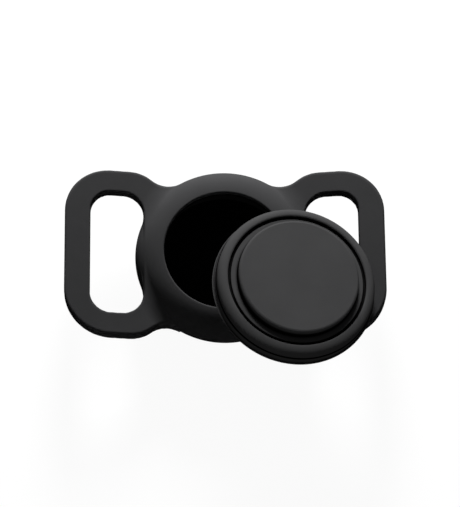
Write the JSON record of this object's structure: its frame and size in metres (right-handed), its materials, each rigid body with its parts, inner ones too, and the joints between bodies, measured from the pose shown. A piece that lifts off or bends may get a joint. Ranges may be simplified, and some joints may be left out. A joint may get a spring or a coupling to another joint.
{
  "type": "tracker tag holder",
  "caption": "Soft holder with two strap loops and a round pocket, and the round capsule for a coin tracker that has been taken out of it and lies on it.",
  "frame": {"origin": "centre of the flat of the holder's back, which the holder lies on", "axes": "+X along the strap, +Z out of the pocket's opening, +Y across the strap"},
  "size_m": [0.078, 0.0536, 0.0292],
  "materials": {
    "silicone": "matte black silicone",
    "capsule_plastic": "matte black moulded plastic",
    "seal_rubber": "grey rubber",
    "white_plastic": "white gloss",
    "steel": "polished steel",
    "inner_plastic": "pale moulded",
    "cell_steel": "satin steel",
    "contact_metal": "plated",
    "board": "green solder mask",
    "chip_plastic": "black",
    "copper_wire": "enamelled winding",
    "magnet": "plated magnet"
  },
  "bodies": {
    "holder": {"holder_body": "silicone"},
    "capsule": {"rear_shell": "capsule_plastic", "seal_ring": "seal_rubber"},
    "cover": {"front_cover": "capsule_plastic"},
    "tag": {"tag_case": "white_plastic", "tag_carrier": "inner_plastic", "coin_cell": "cell_steel", "battery_contacts": "contact_metal", "tag_board": "board", "tag_chips": "chip_plastic", "sounder_coil": "copper_wire", "sounder_magnet": "magnet"},
    "tag_cover": {"tag_battery_cover": "steel"}
  },
  "joints": [
    {"name": "capsule_lift", "type": "slide", "parent": "holder", "child": "capsule", "axis": [0, 0, 1], "range_m": [0, 0.03]},
    {"name": "cover_pull", "type": "slide", "parent": "capsule", "child": "cover", "axis": [0.1455, 0.0854, 0.9857], "range_m": [0, 0.024]},
    {"name": "tag_lift", "type": "slide", "parent": "capsule", "child": "tag", "axis": [0.1455, 0.0854, 0.9857], "range_m": [0, 0.012]},
    {"name": "battery_cover_twist", "type": "hinge", "parent": "tag", "child": "tag_cover", "pos_m": [0.0168, -0.0116, 0.02457], "axis": [-0.1455, -0.0854, -0.9857], "range_deg": [0, 20]}
  ],
  "couplings": [
    {"joint": "tag_lift", "follows": "cover_pull", "ratio": 0.5}
  ]
}
